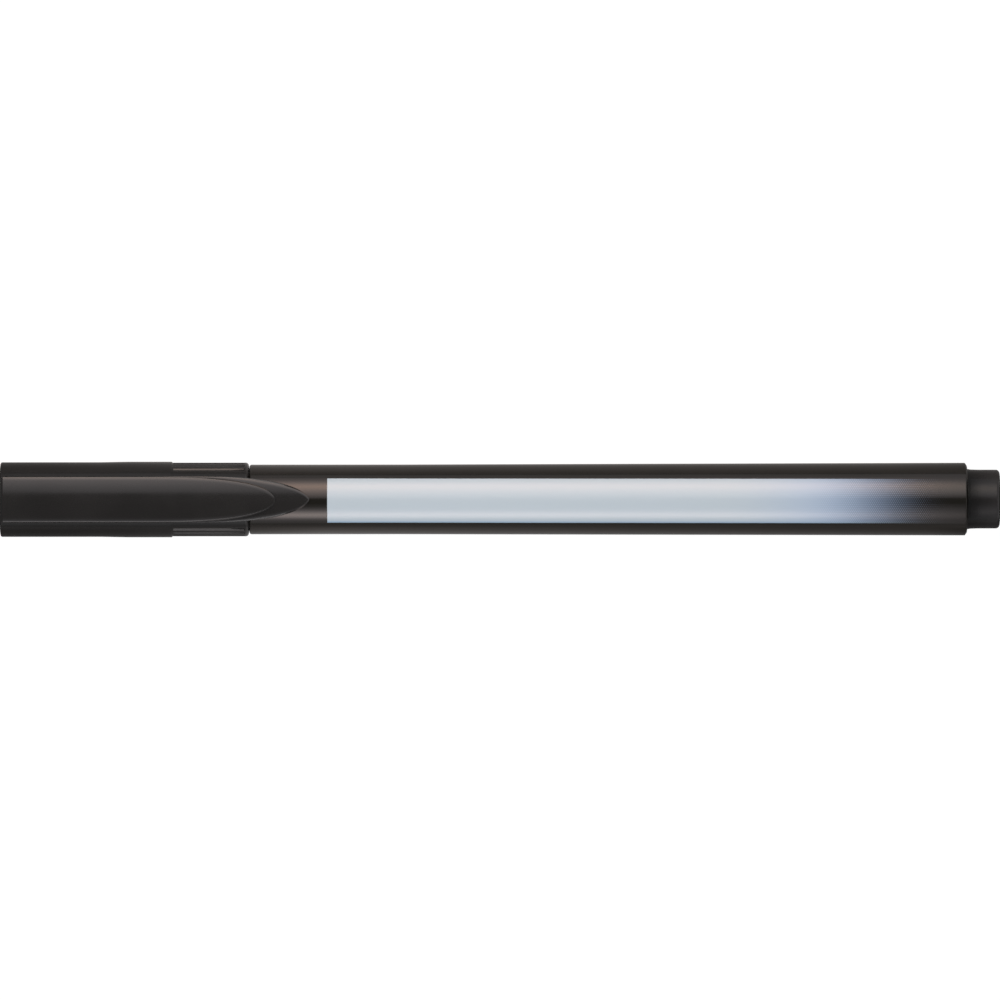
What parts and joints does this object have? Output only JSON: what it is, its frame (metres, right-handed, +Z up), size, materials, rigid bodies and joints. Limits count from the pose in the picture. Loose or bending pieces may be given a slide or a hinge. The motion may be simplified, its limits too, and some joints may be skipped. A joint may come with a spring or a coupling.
{
  "type": "fineliner pen",
  "caption": "Slim round fineliner pen with a fluted pull-off cap, a springy two-tier pocket clip, a steel-sleeved nib, a fibre ink supply and a stepped tail plug.",
  "frame": {"origin": "on the surface the pen lies on, under the middle of its length and on its axis", "axes": "+X from the cap's crown to the tail along the pen, +Z up through the clip, +Y across the clip"},
  "size_m": [0.14, 0.0106, 0.013],
  "materials": {
    "barrel_plastic": "polished dark brown-black moulding with a printed silver-grey label patch",
    "cap_plastic": "satin black moulding",
    "plug_plastic": "satin black moulding",
    "section_plastic": "satin black moulding",
    "sleeve_steel": "drawn stainless tube",
    "nib_plastic": "ink-stained porous plastic",
    "ink_fibre": "bonded fibre soaked with black ink",
    "reservoir_wrap": "thin milky film",
    "inner_cap_plastic": "natural milky moulding"
  },
  "bodies": {
    "barrel": {"barrel": "barrel_plastic", "tail_plug": "plug_plastic", "section": "section_plastic", "nib_sleeve": "sleeve_steel", "nib_point": "nib_plastic", "wick": "ink_fibre", "reservoir": "ink_fibre", "reservoir_film": "reservoir_wrap"},
    "cap": {"cap_shell": "cap_plastic", "inner_cap": "inner_cap_plastic"},
    "clip": {"clip": "cap_plastic"}
  },
  "joints": [
    {"name": "cap_pull", "type": "slide", "parent": "barrel", "child": "cap", "axis": [-1, 0, 0], "range_m": [0, 0.045]},
    {"name": "clip_flex", "type": "hinge", "parent": "cap", "child": "clip", "pos_m": [-0.063, 0, 0.01302], "axis": [0, -1, 0], "range_deg": [0, 4], "stiffness_Nm_per_rad": 1}
  ]
}
